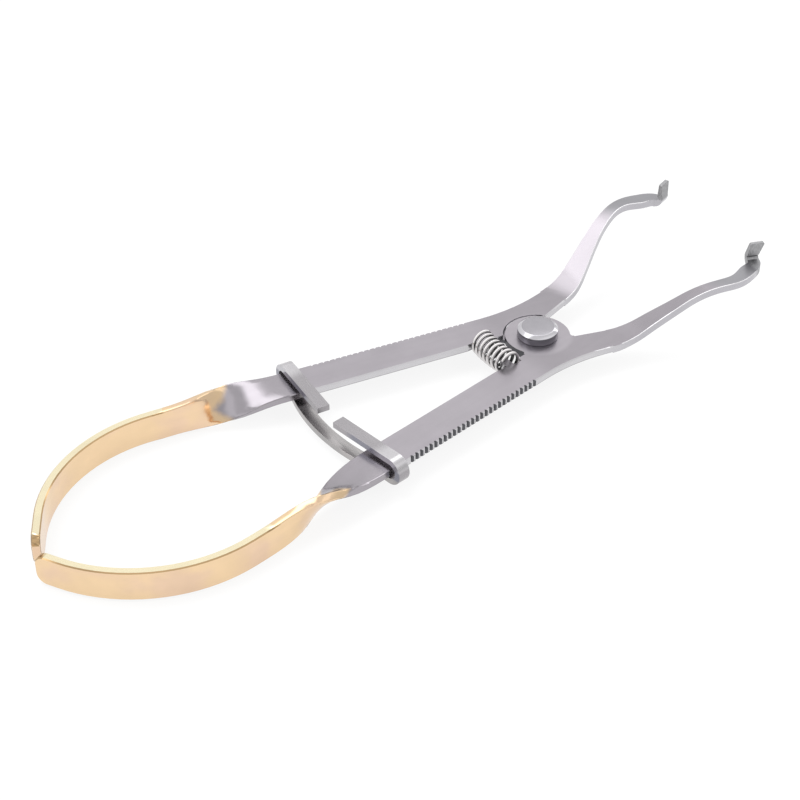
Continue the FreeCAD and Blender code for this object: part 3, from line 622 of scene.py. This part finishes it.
rivet = {
    "headRadius": 0.0046,
    "bevelWide": 0.0009,
    "bevelDeep": 0.0006,
    "shankRadius": 0.0025,
    "headLow": 0.00184,
    "headTop": 0.00372,
    "height": 0.00606,
    "steps": 96,
    "merge": 0.000001,
    "softness": 0.00008,
    "softAngle": 30,
    "wallLimit": 0.1,       # upright part of the normal below which a face is wall
    "bevelLimit": 0.97,     # and below which it is bevel
    "grainStretch": (500, 500, 500),
    # name, colour and roughness of the top, the bevel and the wall; the polished bevel is painted lighter, a
    # painted highlight, and the wall is painted darker, painted shade
    "finishesAndPaintedLight": (("rivetSteel", (0.395, 0.385, 0.41), 0.22), ("rivetBevelHighlight", (0.60, 0.59, 0.62), 0.16),
                 ("rivetWallShade", (0.26, 0.255, 0.28), 0.22)),
}


def addRivet(group):
    # a half outline spun round the pivot's axis
    r = rivet["headRadius"]
    flat, shank, high = r - rivet["bevelWide"], rivet["shankRadius"], rivet["height"]
    low, top, drop = rivet["headLow"], rivet["headTop"], rivet["bevelDeep"]
    profile = [(0, 0), (flat, 0), (r, drop), (r, low), (shank, low),
               (shank, top), (r, top), (r, high - drop), (flat, high), (0, high)]
    mesh = bpy.data.meshes.new("rivetFinish")
    mesh.from_pydata([(x, 0, z) for x, z in profile], [(i, i + 1) for i in range(len(profile) - 1)], [])
    piece = bpy.data.objects.new("rivetFinish", mesh)
    scene.collection.objects.link(piece)
    makeActive(piece)
    turn = piece.modifiers.new("turn", "SCREW")
    turn.angle = 2 * pi
    turn.steps = rivet["steps"]
    turn.use_merge_vertices = True
    turn.merge_threshold = rivet["merge"]
    turn.use_normal_calculate = True
    bpy.ops.object.modifier_apply(modifier=turn.name)
    for name, colour, roughness in rivet["finishesAndPaintedLight"]:
        material = plainMaterial(name, colour, roughness, group, rivet["grainStretch"])
        piece.data.materials.append(material)
    # the bevel gets the painted highlight and the wall the painted shade
    for face in piece.data.polygons:
        upright = abs(face.normal.z)
        face.material_index = 2 if upright < rivet["wallLimit"] else 1 if upright < rivet["bevelLimit"] else 0
    softenEdges(piece, rivet["softness"], 2, rivet["softAngle"])
    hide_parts("rivet")
    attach(piece, "rivet")


# Spring

coil = {
    "axisX": -0.0118,
    "axisZ": 0.00368,
    "radius": 0.0026,
    "wire": 0.0004,
    "wireRoundness": 5,
    "turns": 7.4,
    "length": 0.01054,
    "sag": 0.0005,      # the loaded coil bows away from the joint
    "steps": 32,
    "smoothAngle": 50,
    "colour": (0.66, 0.64, 0.64),
    "shade": (0.10, 0.10, 0.10),
    "shadeSpan": (-0.0001, 0.0002),     # across the wire's middle, outwards
    "roughness": 0.14,
    "grainStretch": (600, 600, 600),
}


def springMaterial(group):
    # the inner half of the wire lies in the coil's own shade
    material, tree, shader = newMaterial("springWire", coil["colour"], coil["roughness"])
    tone, _ = useGrain(tree, shader, group, coil["grainStretch"], 0.03, 0.02)
    _, x, _, z = objectSplit(tree)
    across = mathNode(tree, "SUBTRACT", x, coil["axisX"] - coil["sag"] / 2)
    above = mathNode(tree, "SUBTRACT", z, coil["axisZ"])
    squares = mathNode(tree, "ADD", mathNode(tree, "POWER", across, 2.0), mathNode(tree, "POWER", above, 2.0))
    span = tuple(coil["radius"] + part for part in coil["shadeSpan"])
    outside = mapNode(tree, mathNode(tree, "SQRT", squares), span)
    metal = mixColour(tree, outside, coil["shade"], coil["colour"])
    tree.links.new(toned(tree, metal, tone), shader.inputs["Base Color"])
    return material


def addSpring(group):
    # round wire coil
    path = bpy.data.curves.new("springPath", "CURVE")
    path.dimensions = "3D"
    path.bevel_depth = coil["wire"]
    path.bevel_resolution = coil["wireRoundness"]
    path.use_fill_caps = True
    count = int(coil["turns"] * coil["steps"]) + 1
    line = path.splines.new("POLY")
    line.points.add(count - 1)
    for i, point in enumerate(line.points):
        share = i / (count - 1)
        angle = share * coil["turns"] * 2 * pi
        sag = coil["sag"] * (1 - (2 * share - 1) ** 2)
        x = coil["axisX"] - sag + coil["radius"] * cos(angle)
        z = coil["axisZ"] + coil["radius"] * sin(angle)
        point.co = (x, coil["length"] * (0.5 - share), z, 1)
    piece = bpy.data.objects.new("springFinish", path)
    scene.collection.objects.link(piece)
    makeActive(piece)
    bpy.ops.object.convert(target="MESH")
    piece = bpy.context.object
    bpy.ops.object.shade_smooth_by_angle(angle=radians(coil["smoothAngle"]))
    piece.data.materials.append(springMaterial(group))
    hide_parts("spring")
    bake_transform(piece)


# Lock; pairs are where a change begins and ends

lock = {
    "bevel": 0.00028,
    "bevelAngle": 35,
    "smoothAngle": 50,
    "sideLimit": 0.5,       # part of the normal along X above which a face is a side
    "roughness": 0.27,
    "grainStretch": (1300, 120, 600),
    "colour": (0.375, 0.36, 0.375),
    "sideColour": (0.25, 0.25, 0.29),
    "tailEnds": (0.0065, 0.009),    # across Y, both ways
    # painted highlight on the hooks' bends
    "bendHighlightShare": 0.5,
    "bendHighlightColour": (0.75, 0.74, 0.76),
    "bendHighlightSpan": (0.0140, 0.0175),  # across Y, both ways
    "bendHighlightHeight": (0.0035, 0.0042),
    "underColour": (0.38, 0.37, 0.37),
    "underStreakColour": (0.46, 0.44, 0.44),
    "underHeight": (0.0011, 0.0016),
    "streakStretch": (1500, 60, 200),
    "streakSpan": (0.35, 0.65),     # of the noise
}


def lockMaterial(name, colour, group):
    # brushed along the band, with a streaked cross band under the handles
    material, tree, shader = newMaterial(name, colour, lock["roughness"])
    tone, _ = useGrain(tree, shader, group, lock["grainStretch"], 0.025, 0.01)
    vector, _, y, z = objectSplit(tree)
    aside = mathNode(tree, "ABSOLUTE", y)
    # the sides lie in the handles' shade, and are lighter at the free tails
    top = mixColour(tree, mapNode(tree, aside, lock["tailEnds"], (1.0, 0.0)), colour, lock["colour"])
    # painted highlight on both hooks' bends
    bendHighlight = mathNode(tree, "MULTIPLY", mapNode(tree, aside, lock["bendHighlightSpan"], smooth=True),
                    mapNode(tree, z, lock["bendHighlightHeight"]))
    top = mixColour(tree, bendHighlight, top, mixColour(tree, lock["bendHighlightShare"], colour, lock["bendHighlightColour"]))
    below = mapNode(tree, z, lock["underHeight"], (1.0, 0.0))
    brushing = noiseAt(tree, stretched(tree, vector, lock["streakStretch"]), 1)
    streaks = mapNode(tree, brushing, lock["streakSpan"])
    under = mixColour(tree, streaks, lock["underColour"], lock["underStreakColour"])
    metal = mixColour(tree, below, top, under)
    tree.links.new(toned(tree, metal, tone), shader.inputs["Base Color"])
    return material


def addLock(group):
    piece = copyOfNode("lock_slide")
    piece.data.materials.append(lockMaterial("lockSteel", lock["colour"], group))
    piece.data.materials.append(lockMaterial("lockSides", lock["sideColour"], group))
    for face in piece.data.polygons:
        face.material_index = 1 if abs(face.normal.x) > lock["sideLimit"] else 0
    softenEdges(piece, lock["bevel"], 3, lock["bevelAngle"], smooth=lock["smoothAngle"])
    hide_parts("lock_slide")
    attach(piece, "lock_slide")


addCamera()
addStudio()
print("studio done")

grainGroup = brushedGroup()
leverMaterials = makeLeverMaterials(grainGroup)
print("lever materials done")
addLever("upper_lever", 1, leverMaterials)
addLever("lower_lever", -1, leverMaterials)
print("levers done")
addRivet(grainGroup)
print("rivet done")
addSpring(grainGroup)
print("spring done")
addLock(grainGroup)
print("lock done")
